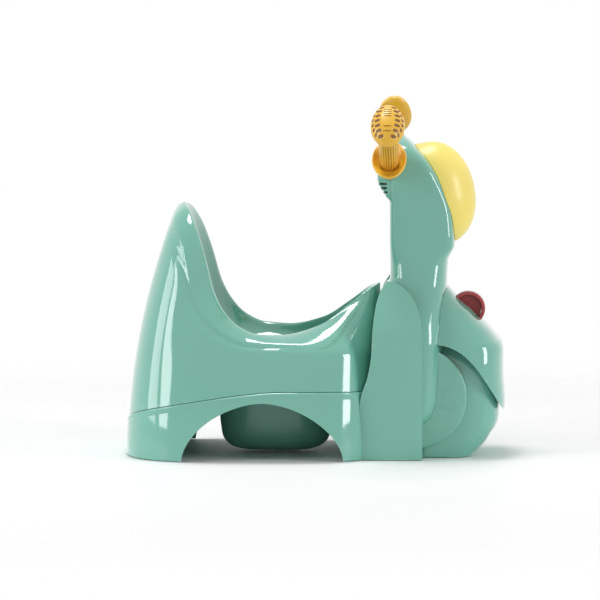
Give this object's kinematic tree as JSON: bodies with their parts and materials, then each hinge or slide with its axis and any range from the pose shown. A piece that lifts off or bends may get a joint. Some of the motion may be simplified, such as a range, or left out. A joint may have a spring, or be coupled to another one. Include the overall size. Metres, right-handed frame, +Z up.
{
  "type": "potty training chair",
  "caption": "Scooter-shaped toddler potty chair: saddle seat with high backrest, lift-out bowl, front column with raised handlebar, lamp dome and mudguard.",
  "frame": {"origin": "on the floor under the middle of the whole chair", "axes": "+X to the scooter's front, +Y to its left, +Z up"},
  "size_m": [0.4499, 0.2876, 0.4213],
  "materials": {
    "mint_shell": "glossy moulded polypropylene",
    "mint_bowl": "satin moulded polypropylene",
    "lamp_yellow": "satin",
    "grip_yellow": "semi gloss, dotted and slotted",
    "badge_red": "gloss",
    "badge_dark_red": "satin",
    "rubber_foot": "matte",
    "steel": "zinc plated"
  },
  "bodies": {
    "chair": {"base_skirt": "mint_shell", "seat_shell": "mint_shell", "mudguard": "mint_shell", "wheel_housing": "mint_shell", "rear_grille": "mint_shell", "lamp_dome": "lamp_yellow", "badge_ring": "badge_red", "badge_disc": "badge_dark_red", "handlebar_tube": "steel", "column_shell_left": "mint_shell", "pannier_left": "mint_shell", "wheel_disc_left": "mint_shell", "hand_guard_left": "grip_yellow", "hand_grip_left": "grip_yellow", "grip_end_left": "grip_yellow", "rear_foot_left": "rubber_foot", "front_foot_left": "rubber_foot", "column_shell_right": "mint_shell", "pannier_right": "mint_shell", "wheel_disc_right": "mint_shell", "hand_guard_right": "grip_yellow", "hand_grip_right": "grip_yellow", "grip_end_right": "grip_yellow", "rear_foot_right": "rubber_foot", "front_foot_right": "rubber_foot", "column_screw_1": "steel", "column_screw_2": "steel", "column_screw_3": "steel"},
    "bowl": {"potty_bowl": "mint_bowl"}
  },
  "joints": [
    {"name": "bowl_lift", "type": "slide", "parent": "chair", "child": "bowl", "axis": [0, 0, 1], "range_m": [0, 0.22]}
  ]
}
